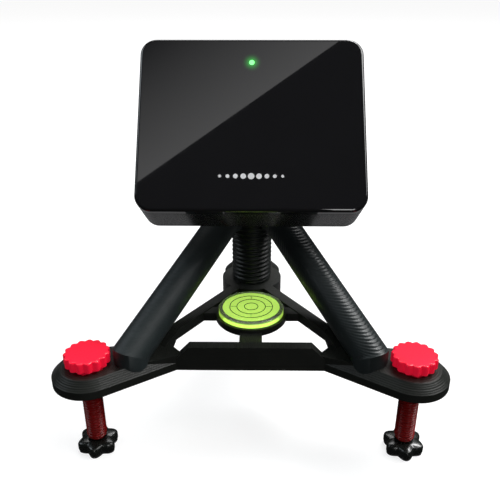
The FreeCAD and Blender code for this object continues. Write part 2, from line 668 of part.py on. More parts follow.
def radar_board():
    board = rounded_slab(-36.0, 36.0, 10.5, 65.5, 2.0, 6.2, 7.8)
    return to_monitor(board.cut([rod_y(1.0, 5, 9, x, z) for x, z in BOARD_SPOTS]))


def antenna_patches():
    solids = []
    for x in (-22.0, -13.5, 13.5, 22.0):
        for z in (24.0, 33.0, 42.0, 51.0):
            solids.append(block(x - 2.9, x + 2.9, 5.95, 6.2, z - 2.9, z + 2.9))
    for z in (28.5, 37.5, 46.5):
        solids.append(block(-2.9, 2.9, 5.95, 6.2, z - 2.9, z + 2.9))
    return to_monitor(Part.makeCompound(solids))


def absorber_foam():
    outer = rounded_slab(-30.0, 30.0, 17.0, 57.5, 2.0, 1.7, 6.15)
    inner = rounded_slab(-27.0, 27.0, 20.0, 54.5, 2.0, 1, 7)
    return to_monitor(outer.cut(inner))


def radar_chip():
    return to_monitor(block(-4.5, 4.5, 7.8, 8.8, 36.0, 45.0))


def shield_can():
    can = rounded_slab(-9.0, 9.0, 31.5, 49.5, 1.0, 7.8, 9.9)
    return to_monitor(can.cut(rounded_slab(-8.7, 8.7, 31.8, 49.2, 0.8, 7, 9.6)))


def board_screws():
    solids = []
    for x, z in BOARD_SPOTS:
        solids.append(rod_y(0.8, 6.2, 11.0, x, z).fuse(rod_y(1.7, 4.9, 6.2, x, z)))
    for x, z in MAIN_SPOTS:
        solids.append(rod_y(0.8, 11.0, 15.2, x, z).fuse(rod_y(1.7, 15.2, 16.4, x, z)))
    return to_monitor(Part.makeCompound(solids))


def main_board():
    board = rounded_slab(10.5, 34.5, 9.0, 63.0, 1.0, 14.0, 15.2)
    return to_monitor(board.cut([rod_y(1.0, 13, 16, x, z) for x, z in MAIN_SPOTS]))


def main_board_chips():
    solids = [
        block(18.0, 28.0, 15.2, 16.6, 38.0, 48.0),
        block(17.0, 24.0, 15.2, 16.2, 52.0, 59.0),
        block(20.0, 25.0, 15.2, 16.0, 27.0, 33.0),
        block(14.0, 18.0, 15.2, 17.4, 20.0, 24.0),
        block(29.0, 33.0, 15.2, 16.3, 48.0, 54.0),
    ]
    return to_monitor(Part.makeCompound(solids))


def battery_pack():
    pack = rounded_slab(-39.0, -9.5, 10.5, 59.5, 1.5, 12.0, 18.6)
    soft = [e for e in pack.Edges if e.BoundBox.YMax - e.BoundBox.YMin < 0.01]
    return to_monitor(pack.makeFillet(0.8, soft))


def battery_bracket():
    strap = block(-40.4, -8.3, 18.65, 19.4, 20.0, 27.0)
    legs = [block(-40.4, -39.4, 11.7, 19.4, 20.0, 27.0), block(-9.3, -8.3, 11.7, 19.4, 20.0, 27.0)]
    return to_monitor(join([strap] + legs))


def board_ribbon():
    flat = block(-11.0, 11.0, 8.3, 8.6, 61.0, 64.0)
    drop = block(-11.0, 11.0, 8.3, 13.2, 60.9, 61.2)
    tail = block(-11.0, 20.0, 12.9, 13.2, 60.9, 64.0)
    return to_monitor(join([flat, drop, tail]))


def usb_connector():
    body = block(31.0, HALF - 3.8, 11.75, 14.0, USB_Z - 4.4, USB_Z + 4.4)
    return to_monitor(body.cut(block(35.0, HALF, 12.2, 13.6, USB_Z - 3.6, USB_Z + 3.6)))


def usb_cap():
    lid = block(HALF - 1.55, HALF - 0.05, 8.8, 17.2, CAP_HINGE_Z, 27.9)
    barrel = rod_y(0.85, 8.8, 17.2, CAP_HINGE_X, CAP_HINGE_Z)
    plug = block(HALF - 3.2, HALF - 1.5, 11.6, 14.6, USB_Z - 1.5, USB_Z + 4.2)
    cap = join([lid, barrel, plug])
    cap = cap.cut(block(HALF - 3, HALF + 1, 8, 18, CAP_HINGE_Z - 2, CAP_HINGE_Z).cut(barrel))
    return to_monitor(cap.cut(rod_y(0.45, 8, 18, CAP_HINGE_X, CAP_HINGE_Z)))


def usb_cap_pin():
    return to_monitor(rod_y(0.4, 7.8, 18.2, CAP_HINGE_X, CAP_HINGE_Z))


def power_button():
    pieces = [block(BUTTON_X - 3.7, BUTTON_X + 3.7, BUTTON_Y - 2.2, BUTTON_Y + 2.2, 68.0, MON_H + 0.5)]
    for side in (-1, 1):
        pieces.append(post(2.2, 68.0, MON_H + 0.5, BUTTON_X + side * 3.7, BUTTON_Y))
    pieces.append(block(BUTTON_X - 6.8, BUTTON_X + 6.8, BUTTON_Y - 3.0, BUTTON_Y + 3.0, 67.6, 68.9))
    return to_monitor(join(pieces))


def button_switch():
    body = block(BUTTON_X - 3.0, BUTTON_X + 3.0, 15.2, 17.2, 59.8, 65.5)
    return to_monitor(body.fuse(block(BUTTON_X - 1.2, BUTTON_X + 1.2, 14.4, 15.9, 63.2, 66.9)))


def status_led():
    return to_monitor(block(-0.8, 0.8, 5.3, 6.2, LED_V - 0.8, LED_V + 0.8))


def light_pipe():
    pipe = rod_y(1.1, 0.05, 5.25, 0, LED_V).fuse(rod_y(2.2, 1.6, 2.4, 0, LED_V))
    return to_monitor(pipe)


def tripod_insert():
    body = rod_y(5.0, 16.4, MON_T - 0.4, 0, INSERT_V)
    groove = rod_y(6.0, 19.5, 20.7, 0, INSERT_V).cut(rod_y(4.4, 19, 21, 0, INSERT_V))
    return to_monitor(body.cut([rod_y(3.2, 15, MON_T + 1, 0, INSERT_V), groove]))


# ---- write the pieces ---------------------------------------------------------
NODES = {
    "base_frame": base_frame(),
    "leg_nuts": leg_nuts(),
    "level_vial": level_vial(),
    "level_window": level_window(),
    "level_fluid": level_fluid(),
    "level_bubble": level_bubble(),
    "level_backing": level_backing(),
    "level_rings": level_rings(),
    "strut_left": strut(-1),
    "strut_right": strut(1),
    "strut_screws": strut_screws(),
    "mast": mast(),
    "mast_bolt": mast_bolt(),
    "mast_nut": mast_nut(),
    "mast_head": mast_head(),
    "tilt_plate": tilt_plate(),
    "grip_pad": grip_pad(),
    "tilt_pin": tilt_pin(),
    "tilt_washer": tilt_washer(),
    "tilt_knob": tilt_knob(),
    "mount_screw": mount_screw(),
    "front_lens": front_lens(),
    "housing_gasket": housing_gasket(),
    "mid_housing": mid_housing(),
    "rear_housing": rear_housing(),
    "housing_screws": housing_screws(),
    "inner_frame": inner_frame(),
    "radar_board": radar_board(),
    "antenna_patches": antenna_patches(),
    "absorber_foam": absorber_foam(),
    "radar_chip": radar_chip(),
    "shield_can": shield_can(),
    "board_screws": board_screws(),
    "main_board": main_board(),
    "main_board_chips": main_board_chips(),
    "battery_pack": battery_pack(),
    "battery_bracket": battery_bracket(),
    "board_ribbon": board_ribbon(),
    "usb_connector": usb_connector(),
    "usb_cap": usb_cap(),
    "usb_cap_pin": usb_cap_pin(),
    "power_button": power_button(),
    "button_switch": button_switch(),
    "status_led": status_led(),
    "light_pipe": light_pipe(),
    "tripod_insert": tripod_insert(),
}
for place, (leg_x, leg_y) in LEGS.items():
    NODES["leg_screw_" + place] = leg_screw(leg_x, leg_y)
    NODES["leg_knob_" + place] = leg_knob(leg_x, leg_y)
    NODES["foot_" + place] = foot(leg_x, leg_y)
    NODES["foot_sole_" + place] = foot_sole(leg_x, leg_y)

os.makedirs("parts", exist_ok=True)
for node, shape in NODES.items():
    shape.exportStep("parts/" + node + ".step")
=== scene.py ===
import json
import math

import bmesh
import bpy
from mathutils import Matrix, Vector


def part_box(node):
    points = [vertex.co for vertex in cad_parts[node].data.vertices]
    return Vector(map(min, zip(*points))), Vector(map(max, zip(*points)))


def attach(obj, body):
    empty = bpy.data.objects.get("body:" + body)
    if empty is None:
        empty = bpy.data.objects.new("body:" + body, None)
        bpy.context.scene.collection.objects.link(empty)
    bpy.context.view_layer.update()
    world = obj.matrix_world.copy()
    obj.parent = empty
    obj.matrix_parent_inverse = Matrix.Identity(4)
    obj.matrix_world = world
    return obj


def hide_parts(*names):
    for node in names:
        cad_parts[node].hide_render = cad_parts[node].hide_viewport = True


# The launch monitor on its levelling stand, dressed for a studio picture.  The packed
# CAD model is the frame.  Numbers multiplied by MM, and the profiles handed to
# lathe_rings, are in millimetres; everything else is in metres.

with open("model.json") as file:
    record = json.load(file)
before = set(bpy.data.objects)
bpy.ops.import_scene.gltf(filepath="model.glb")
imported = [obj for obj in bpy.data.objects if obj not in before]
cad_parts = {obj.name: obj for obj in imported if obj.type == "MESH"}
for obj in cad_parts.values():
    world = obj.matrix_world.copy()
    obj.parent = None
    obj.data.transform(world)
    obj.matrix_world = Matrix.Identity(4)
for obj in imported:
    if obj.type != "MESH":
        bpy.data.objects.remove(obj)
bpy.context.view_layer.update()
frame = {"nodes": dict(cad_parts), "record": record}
nodes = frame["nodes"]
MM = 0.001
TILT = math.radians(36.0)
UP = Vector((0, math.sin(TILT), math.cos(TILT)))
BACK = Vector((0, math.cos(TILT), -math.sin(TILT)))
FACE_FOOT = Vector((0, -23.9, 95.9)) * MM      # bottom front edge of the monitor
LED_UP = 60.8 * MM                              # lamp's height up the face
LEGS = {"left": (-62.5, -44.0), "right": (62.5, -44.0), "rear": (0.0, 44.0)}   # millimetres


# ---- materials ----------------------------------------------------------------
class Mat:
    """A principled material with short helpers for procedural detail."""

    def __init__(self, name, colour, rough, **sockets):
        self.m = bpy.data.materials.new(name)
        self.m.use_nodes = True
        self.t = self.m.node_tree
        self.b = self.t.nodes["Principled BSDF"]
        self.b.inputs["Base Color"].default_value = (*colour, 1)
        self.b.inputs["Roughness"].default_value = rough
        for key, value in sockets.items():
            self.b.inputs[key.replace("_", " ")].default_value = value
        self.colour = colour
        self.height = None
        self.coords = self.node("ShaderNodeTexCoord").outputs["Object"]

    def node(self, kind, **props):
        n = self.t.nodes.new(kind)
        for key, value in props.items():
            setattr(n, key, value)
        return n

    def link(self, a, b):
        self.t.links.new(a, b)

    def math(self, op, a, b=None):
        n = self.node("ShaderNodeMath", operation=op)
        for i, v in enumerate((a, b)):
            if v is None:
                continue
            if isinstance(v, (int, float)):
                n.inputs[i].default_value = v
            else:
                self.link(v, n.inputs[i])
        return n.outputs[0]

    def ramp(self, value, lo, hi, out_lo, out_hi):
        n = self.node("ShaderNodeMapRange")
        self.link(value, n.inputs["Value"])
        for key, v in (("From Min", lo), ("From Max", hi), ("To Min", out_lo), ("To Max", out_hi)):
            n.inputs[key].default_value = v
        return n.outputs["Result"]

    def noise(self, size_mm, detail=3.0):
        n = self.node("ShaderNodeTexNoise")
        n.inputs["Scale"].default_value = 1 / (size_mm * MM)
        n.inputs["Detail"].default_value = detail
        self.link(self.coords, n.inputs["Vector"])
        return n.outputs["Fac"]

    def axis(self, name):
        split = self.node("ShaderNodeSeparateXYZ")
        self.link(self.coords, split.inputs[0])
        return split.outputs[name]

    def lines(self, value, pitch_mm):
        """Sine ridges of that pitch along a value in metres."""
        return self.math("SINE", self.math("MULTIPLY", value, 2 * math.pi / (pitch_mm * MM)))

    def distance(self, point):
        n = self.node("ShaderNodeVectorMath", operation="DISTANCE")
        self.link(self.coords, n.inputs[0])
        n.inputs[1].default_value = point
        return n.outputs["Value"]

    def vary_colour(self, fac, darker, lighter):
        mix = self.node("ShaderNodeMix", data_type="RGBA")
        self.link(fac, mix.inputs["Factor"])
        mix.inputs["A"].default_value = (*[c * darker for c in self.colour], 1)
        mix.inputs["B"].default_value = (*[min(1, c * lighter) for c in self.colour], 1)
        self.link(mix.outputs["Result"], self.b.inputs["Base Color"])

    def vary_rough(self, fac, lo, hi):
        self.link(self.ramp(fac, 0.3, 0.7, lo, hi), self.b.inputs["Roughness"])

    def bump(self, height, strength, distance_mm):
        n = self.node("ShaderNodeBump")
        n.inputs["Strength"].default_value = strength
        n.inputs["Distance"].default_value = distance_mm * MM
        self.link(height, n.inputs["Height"])
        if self.height is not None:
            self.link(self.height, n.inputs["Normal"])
        self.height = n.outputs["Normal"]
        self.link(self.height, self.b.inputs["Normal"])


def printed(name, colour, rough, layer_mm, depth_mm, grain_mm=0.03, **sockets):
    """Layered printed plastic: fine lines up the walls, with a grain over all of it."""
    mat = Mat(name, colour, rough, **sockets)
    grain = mat.noise(0.7, 4.0)
    cloud = mat.noise(9.0, 2.0)
    mat.vary_colour(cloud, 0.75, 1.45)
    mat.vary_rough(grain, rough * 0.8, rough * 1.25)
    mat.bump(mat.lines(mat.axis("Z"), layer_mm), 0.6, depth_mm)
    mat.bump(grain, 0.3, grain_mm)
    return mat


def pad_plastic(name, colour, rough):
    """Printed frame: rings drawn round each leg on the flat faces."""
    mat = printed(name, colour, rough, 0.6, 0.03, Specular_IOR_Level=0.28)
    near = None
    for x, y in LEGS.values():
        flat = mat.node("ShaderNodeCombineXYZ")
        mat.link(mat.axis("X"), flat.inputs["X"])
        mat.link(mat.axis("Y"), flat.inputs["Y"])
        d = mat.node("ShaderNodeVectorMath", operation="DISTANCE")
        mat.link(flat.outputs[0], d.inputs[0])
        d.inputs[1].default_value = (x * MM, y * MM, 0)
        near = d.outputs["Value"] if near is None else mat.math("MINIMUM", near, d.outputs["Value"])
    facing = mat.node("ShaderNodeSeparateXYZ")
    mat.link(mat.node("ShaderNodeNewGeometry").outputs["True Normal"], facing.inputs[0])
    flat_top = mat.ramp(facing.outputs["Z"], 0.6, 0.9, 0.0, 1.0)
    mat.bump(mat.math("MULTIPLY", mat.lines(near, 0.9), flat_top), 0.55, 0.04)
    return mat


BLACK_PRINT = pad_plastic("frame_print", (0.0100, 0.0112, 0.0095), 0.40).m
STRUT_PRINT = printed("strut_print", (0.0125, 0.0165, 0.0170), 0.36, 0.8, 0.01,
                      Specular_IOR_Level=0.35).m
# Left strut's copy: rougher, with a lighter, bluer base colour that paints in the soft bluish highlight the
# left strut carries.
STRUT_PAINTED_SHEEN = printed("strut_print_painted_sheen", (0.0150, 0.0205, 0.0215), 0.50, 0.8, 0.01,
                     Specular_IOR_Level=0.35).m
MAST_PRINT = printed("mast_print", (0.004, 0.006, 0.005), 0.42, 0.3, 0.01, Specular_IOR_Level=0.3).m
# The knob red also emits a weak red glow: painted light that brightens its shaded sides.
KNOB_RED_PAINTED_GLOW = printed("knob_print_painted_glow", (0.80, 0.004, 0.026), 0.42, 0.35, 0.006, 0.006,
                    Specular_IOR_Level=0.2, Coat_Weight=0.5, Coat_Roughness=0.10,
                    Emission_Color=(1.0, 0.01, 0.05, 1), Emission_Strength=0.28).m
RED_THREAD = printed("screw_print", (0.20, 0.002, 0.002), 0.30, 0.35, 0.004, 0.01,
                     Specular_IOR_Level=0.3).m
FOOT_PRINT = printed("foot_print", (0.005, 0.0065, 0.0055), 0.26, 0.45, 0.03,
                     Coat_Weight=0.3, Coat_Roughness=0.12).m


def shell_plastic():
    mat = Mat("monitor_shell", (0.018, 0.018, 0.020), 0.24)
    fine = mat.noise(0.25, 2.0)
    mat.vary_colour(mat.noise(14.0, 2.0), 0.9, 1.15)
    mat.vary_rough(fine, 0.21, 0.29)
    mat.bump(fine, 0.12, 0.01)
    return mat.m


def face_gloss():
    """Smoked gloss window.  Light from the lamp behind it spreads in a small green glow."""
    mat = Mat("monitor_face", (0.0075, 0.0075, 0.0085), 0.02, Coat_Weight=0.3, Coat_Roughness=0.01)
    mat.vary_rough(mat.noise(6.0, 3.0), 0.012, 0.03)
    mat.vary_colour(mat.noise(20.0, 1.0), 0.92, 1.1)
    led = FACE_FOOT + UP * LED_UP
    near = mat.ramp(mat.distance(led), 0.8 * MM, 4.6 * MM, 1.0, 0.0)
    glow = mat.math("MULTIPLY", mat.math("POWER", near, 3.0), 0.42)
    mat.b.inputs["Emission Color"].default_value = (0.05, 1.0, 0.10, 1)
    mat.link(glow, mat.b.inputs["Emission Strength"])
    return mat.m


def lamp_glass():
    mat = Mat("lamp_green", (0.3, 1.0, 0.45), 0.2)
    mat.b.inputs["Emission Color"].default_value = (0.15, 1.0, 0.13, 1)
    strength = mat.ramp(mat.noise(0.6, 2.0), 0.3, 0.7, 0.9, 1.1)
    mat.link(strength, mat.b.inputs["Emission Strength"])
    return mat.m


def acrylic():
    mat = Mat("level_clear", (0.93, 1.0, 0.90), 0.03, IOR=1.49, Transmission_Weight=1.0)
    mat.vary_rough(mat.noise(3.0, 3.0), 0.02, 0.06)
    mat.bump(mat.noise(5.0, 2.0), 0.05, 0.05)
    return mat.m


def level_liquid():
    mat = Mat("level_liquid", (0.50, 0.76, 0.12), 0.12, IOR=1.36)
    mat.vary_colour(mat.noise(8.0, 2.0), 0.92, 1.08)
    # Painted glow: the liquid emits its own green, strongest at the middle of its top, in place of the light
    # that the window keeps from it.
    mat.b.inputs["Emission Color"].default_value = (0.60, 0.88, 0.17, 1)
    low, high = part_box("level_fluid")
    centre = ((low.x + high.x) / 2, (low.y + high.y) / 2, high.z)
    glow = mat.ramp(mat.distance(centre), 0.0, 13 * MM, 0.98, 0.84)
    mat.link(glow, mat.b.inputs["Emission Strength"])
    return mat.m


def cup_acrylic():
    """Clear wall with a painted green glow in a band just below its rim, on its outer faces only."""
    mat = Mat("level_wall", (0.96, 1.0, 0.93), 0.03, IOR=1.49, Transmission_Weight=0.85)
    mat.vary_rough(mat.noise(3.0, 3.0), 0.02, 0.07)
    mat.bump(mat.noise(5.0, 2.0), 0.05, 0.05)
    low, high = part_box("level_vial")
    mat.b.inputs["Emission Color"].default_value = (0.55, 0.95, 0.08, 1)
    painted_glow_band = mat.ramp(mat.axis("Z"), high.z - 0.9 * MM, high.z - 0.2 * MM, 0.55, 0.0)
    inside = mat.node("ShaderNodeNewGeometry").outputs["Backfacing"]
    mat.link(mat.math("MULTIPLY", painted_glow_band, mat.math("SUBTRACT", 1.0, inside)), mat.b.inputs["Emission Strength"])
    return mat.m


def simple(name, colour, rough, size_mm=1.0, depth=0.02, swing=0.2, **sockets):
    mat = Mat(name, colour, rough, **sockets)
    mat.vary_colour(mat.noise(size_mm * 4), 1 - swing, 1 + swing)
    mat.vary_rough(mat.noise(size_mm), rough * 0.8, min(1, rough * 1.25))
    mat.bump(mat.noise(size_mm), 0.3, depth)
    return mat.m


SHELL = shell_plastic()
FACE = face_gloss()
LAMP = lamp_glass()
CLEAR = acrylic()
CUP_CLEAR_PAINTED_GLOW = cup_acrylic()
LIQUID_PAINTED_GLOW = level_liquid()
INK = simple("level_ink", (0.02, 0.05, 0.01), 0.5, 0.4)
MARK = simple("face_mark", (0.75, 0.75, 0.76), 0.35, 0.4, 0.002, 0.05)
PALE = simple("level_backing", (0.60, 0.82, 0.20), 0.4, 2.0)
RUBBER = simple("black_rubber", (0.018, 0.018, 0.018), 0.75, 0.3, 0.03)
STEEL = simple("zinc_steel", (0.58, 0.58, 0.60), 0.30, 0.6, 0.01, 0.12, Metallic=1.0)
BLACK_STEEL = simple("black_steel", (0.03, 0.03, 0.032), 0.35, 0.5, 0.01, 0.2, Metallic=1.0)
INNER = simple("inner_plastic", (0.05, 0.05, 0.055), 0.5, 0.5)
BOARD = simple("board_green", (0.015, 0.10, 0.04), 0.35, 0.8, 0.01, 0.3)
GOLD = simple("antenna_gold", (0.90, 0.62, 0.28), 0.25, 0.4, 0.004, 0.1, Metallic=1.0)
FOAM = simple("absorber_foam", (0.03, 0.03, 0.035), 0.95, 0.5, 0.1, 0.4)
CHIP = simple("chip_black", (0.02, 0.02, 0.02), 0.45, 0.2, 0.005)
TIN = simple("tin_can", (0.66, 0.66, 0.68), 0.28, 0.7, 0.01, 0.1, Metallic=1.0)
FOIL = simple("battery_foil", (0.55, 0.56, 0.58), 0.4, 2.5, 0.05, 0.12, Metallic=0.8)
FLEX = simple("ribbon_flex", (0.45, 0.20, 0.03), 0.3, 1.0, 0.005)
BRASS = simple("brass_insert", (0.78, 0.58, 0.25), 0.3, 0.5, 0.01, 0.12, Metallic=1.0)
BUBBLE = simple("level_bubble", (0.95, 1.0, 0.85), 0.05, 2.0, 0.001, 0.02, Transmission_Weight=0.9, IOR=1.1)

BY_SLOT = {
    "black_print": BLACK_PRINT, "red_print": KNOB_RED_PAINTED_GLOW, "foot_print": FOOT_PRINT, "black_rubber": RUBBER,
    "steel": STEEL, "black_steel": BLACK_STEEL, "clear_acrylic": CLEAR, "level_liquid": LIQUID_PAINTED_GLOW,
    "air_bubble": BUBBLE, "level_white": PALE, "level_ink": INK, "face_gloss": FACE, "shell_black": SHELL,
    "inner_plastic": INNER, "board_green": BOARD, "copper": GOLD, "foam": FOAM, "chip_black": CHIP,
    "can_metal": TIN, "battery_foil": FOIL, "ribbon": FLEX, "brass_insert": BRASS, "led_green": LAMP,
}
for part in frame["record"]["subparts"]:
    node = nodes[part["node"]]
    material = BY_SLOT[part["material_slot"]]
    if part["node"].startswith("leg_screw"):
        material = RED_THREAD
    node.data.materials.clear()
    node.data.materials.append(material)


# ---- mesh helpers -------------------------------------------------------------
def finish_mesh(name, bm, material, body, replaced=(), sharp_deg=35.0):
    """Turns a bmesh in metres into a piece that rides on a CAD body."""
    bmesh.ops.remove_doubles(bm, verts=bm.verts, dist=1e-7)
    bmesh.ops.recalc_face_normals(bm, faces=bm.faces)
    limit = math.radians(sharp_deg)
    for face in bm.faces:
        face.smooth = True
    for edge in bm.edges:
        if len(edge.link_faces) == 2:
            edge.smooth = edge.calc_face_angle(0.0) < limit
    mesh = bpy.data.meshes.new(name)
    bm.to_mesh(mesh)
    bm.free()
    obj = bpy.data.objects.new(name, mesh)
    bpy.context.scene.collection.objects.link(obj)
    mesh.materials.append(material)
    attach(obj, body)
    if replaced:
        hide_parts(*replaced)
    return obj


def skin(bm, rings, close_ends=True):
    """Joins rings of equal vertex count into a closed tube with capped ends."""
    rows = [[bm.verts.new(p) for p in ring] for ring in rings]
    n = len(rows[0])
    for a, b in zip(rows, rows[1:]):
        for i in range(n):
            j = (i + 1) % n
            bm.faces.new((a[i], a[j], b[j], b[i]))
    if close_ends:
        bm.faces.new(list(reversed(rows[0])))
        bm.faces.new(rows[-1])
    return rows


def lathe_rings(profile_mm, centre_mm, count, radius_at=None):
    """Rings of a turned shape; radius_at(angle, r, z) may shape each ring."""
    rings = []
    for r, z in profile_mm:
        ring = []
        for i in range(count):
            a = 2 * math.pi * i / count
            rr = radius_at(a, r, z) if radius_at else r
            ring.append(Vector((centre_mm[0] + rr * math.cos(a), centre_mm[1] + rr * math.sin(a), z)) * MM)
        rings.append(ring)
    return rings


def arc_profile(cx, cz, r, a0, a1, steps):
    """Points of an arc in (radius, height), angles in degrees."""
    points = []
    for i in range(steps + 1):
        a = math.radians(a0 + (a1 - a0) * i / steps)
        points.append((cx + r * math.cos(a), cz + r * math.sin(a)))
    return points


# ---- levelling legs -----------------------------------------------------------
def knob(place):
    """Scalloped thumbwheel: rounded bumps with hollows between them, softened top and bottom rims."""
    x, y = LEGS[place]
    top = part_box("leg_knob_" + place)[1].z / MM
    bottom = 41.7
    bumps, outer, depth, soft = 15, 8.8, 0.95, 0.6

    def radius(angle, r, z):
        scallop = 1 - abs(math.cos(bumps * angle / 2))
        wave = 0.5 * (1 - math.cos(bumps * angle))
        fade = max(0.0, min(1.0, (r - 6.0) / 2.0))
        return r - depth * (0.55 * scallop + 0.45 * wave) * fade

    profile = [(0.02, bottom - 0.7), (5.5, bottom - 0.7), (5.6, bottom - 0.6), (5.6, bottom), (7.8, bottom)]
    profile += arc_profile(outer - soft, bottom + soft, soft, -90, 0, 5)
    profile += arc_profile(outer - soft, top - soft, soft, 0, 90, 6)
    profile += [(7.4, top), (6.4, top), (4.0, top), (1.6, top), (0.02, top)]
    bm = bmesh.new()
    skin(bm, lathe_rings(profile, (x, y), bumps * 12, radius))
    finish_mesh("knob_" + place, bm, KNOB_RED_PAINTED_GLOW, "screw_" + place, ["leg_knob_" + place], 50)


def screw(place):
    """Ball-ended screw with a true helical thread."""
    x, y = LEGS[place]
    pitch, major, minor = 1.25, 4.0, 3.4
    z0, z1 = 6.0, 44.4
    count, per_turn = 32, 10
    thread_end = 41.4                               # the thread runs out under the knob
    steps = int((z1 - z0) / pitch * per_turn)
    ball = arc_profile(0, 3.75, 2.4, -89, 45, 8)
    neck = [(1.7, 5.6), (3.2, 5.95)]
    rings = lathe_rings(ball + neck, (x, y), count)
    for k in range(steps + 1):
        z = z0 + (z1 - z0) * k / steps
        ends = min(1.0, (z - z0) / 1.0, max(0.0, (thread_end - z) / 1.0))
        ring = []
        for i in range(count):
            a = 2 * math.pi * i / count
            phase = (z / pitch - a / (2 * math.pi)) % 1.0
            crest = 1 - abs(2 * phase - 1)
            shape = min(1.0, max(0.0, (crest - 0.12) / 0.62))
            r = minor + (major - 0.02 - minor) * shape * ends
            ring.append(Vector((x + r * math.cos(a), y + r * math.sin(a), z)) * MM)
        rings.append(ring)
    bm = bmesh.new()
    skin(bm, rings)
    finish_mesh("screw_" + place, bm, RED_THREAD, "screw_" + place, ["leg_screw_" + place], 60)


def foot(place):
    """Six-lobed foot with a domed top and a socket for the ball, and its rubber sole."""
    x, y = LEGS[place]
    lobes, outer, depth, soft, top = 6, 8.2, 1.9, 1.3, 5.2

    def radius(angle, r, z):
        scallop = 1 - abs(math.sin(lobes * angle / 2))
        wave = 0.5 * (1 + math.cos(lobes * angle))
        fade = max(0.0, min(1.0, (r - 3.0) / 4.0))
        return r - depth * (0.35 * scallop + 0.65 * wave) * fade

    profile = [(1.85, 1.35), (2.4, 1.2), (outer - 0.4, 1.2), (outer, 1.6)]
    profile += arc_profile(outer - soft, top - 0.3 - soft, soft, 0, 75, 6)
    profile += [(outer - 1.9, top - 0.2), (outer - 3.2, top - 0.05), (3.9, top), (2.9, top),
                (2.2, top - 0.35), (1.95, top - 0.8)]
    profile += arc_profile(0, 3.75, 2.46, 38, -40, 8)
    bm = bmesh.new()
    rows = skin(bm, lathe_rings(profile, (x, y), lobes * 16, radius), close_ends=False)
    n = len(rows[0])
    for i in range(n):
        j = (i + 1) % n
        bm.faces.new((rows[-1][i], rows[-1][j], rows[0][j], rows[0][i]))
    finish_mesh("foot_body_" + place, bm, FOOT_PRINT, "foot_" + place, ["foot_" + place], 50)
    bm = bmesh.new()
    sole = [(1.65, 0.0), (outer - 0.6, 0.0), (outer - 0.3, 0.3), (outer - 0.3, 1.2), (1.65, 1.2), (1.65, 0.0)]
    skin(bm, lathe_rings(sole, (x, y), lobes * 16, radius), close_ends=False)
    finish_mesh("sole_" + place, bm, RUBBER, "foot_" + place, ["foot_sole_" + place], 40)


for place in LEGS:
    knob(place)
    screw(place)
    foot(place)


# ---- struts -------------------------------------------------------------------
# All in millimetres, for the right strut; the left one is its mirror image.
STRUT_R, STRUT_FOOT = 7.1, (46.2, -40.0)
FOOT_LOW, KNEE_Z = 37.4, 43.0                   # upright foot, up to the mitre
APEX_Y, APEX_Z, STRUT_END = 30.0, 90.0, 22.0    # where the bars aim, and how far short they end
TAB_END, TAB_LOW, TAB_HIGH, TAB_HALF = 16.2, 73.0, 77.0, 5.4
RIB_PITCH = 0.8                                 # print layers that stand out as level ribs


def strut(side, name, rib_depth, material):
    """Round bar with a mitred foot and a flat tab at its upper end."""
    knee = Vector((STRUT_FOOT[0], STRUT_FOOT[1], KNEE_Z))
    apex = Vector((0, APEX_Y, APEX_Z))
    along = (apex - knee).normalized()
    run = Vector((along.x, along.y, 0)).normalized()
    sideways = Vector((-run.y, run.x, 0))
    mitre = (along + Vector((0, 0, 1))).normalized()
    level_run = (apex - knee).dot(run)
    count = 72
    rings = []
    angles = [2 * math.pi * i / count for i in range(count)]

    def around(a):
        return sideways * math.cos(a), math.sin(a)

    for z in (FOOT_LOW, FOOT_LOW + 0.4):
        ring = []
        for a in angles:
            s, w = around(a)
            ring.append(Vector((knee.x, knee.y, z)) + (s + run * w) * STRUT_R)
        rings.append(ring)
    mitred = []
    for a in angles:
        s, w = around(a)
        p = knee + (s + run * w) * STRUT_R
        p.z = KNEE_Z - (p - knee).dot(Vector((mitre.x, mitre.y, 0))) / mitre.z
        mitred.append(p)
    rings.append(mitred)
    steps = 420
    for k in range(1, steps + 1):
        f = k / steps
        ring = []
        for i, a in enumerate(angles):
            s, w = around(a)
            start = mitred[i]
            t = (start - knee).dot(along)
            out = (level_run - STRUT_END) - (start - knee).dot(run)
            end = start + along * (out / along.dot(run))
            p = start.lerp(end, f)
            centre = knee + along * (p - knee).dot(along)
            spoke = (p - centre).normalized()
            rib = 0.5 * (1 + math.cos(2 * math.pi * p.z / RIB_PITCH))
            fade = min(1.0, k / 6.0, (steps - k) / 4.0)
            ring.append(p - spoke * rib_depth * rib * max(0.0, fade))
        rings.append(ring)
    bm = bmesh.new()
    skin(bm, [[Vector((side * p.x, p.y, p.z)) * MM for p in ring] for ring in rings])
    corners = []
    for d in (TAB_END, STRUT_END + 5.0):
        for w in (-TAB_HALF, TAB_HALF):
            for z in (TAB_LOW, TAB_HIGH):
                p = Vector((0, APEX_Y, z)) - run * d + sideways * w
                corners.append(bm.verts.new(Vector((side * p.x, p.y, p.z)) * MM))
    for quad in ((0, 1, 3, 2), (4, 6, 7, 5), (0, 4, 5, 1), (2, 3, 7, 6), (0, 2, 6, 4), (1, 5, 7, 3)):
        bm.faces.new([corners[q] for q in quad])
    finish_mesh("round_" + name, bm, material, "base", [name], 45)


strut(1, "strut_right", 0.22, STRUT_PRINT)
# The left strut takes the copy with the painted bluish sheen.
strut(-1, "strut_left", 0.05, STRUT_PAINTED_SHEEN)


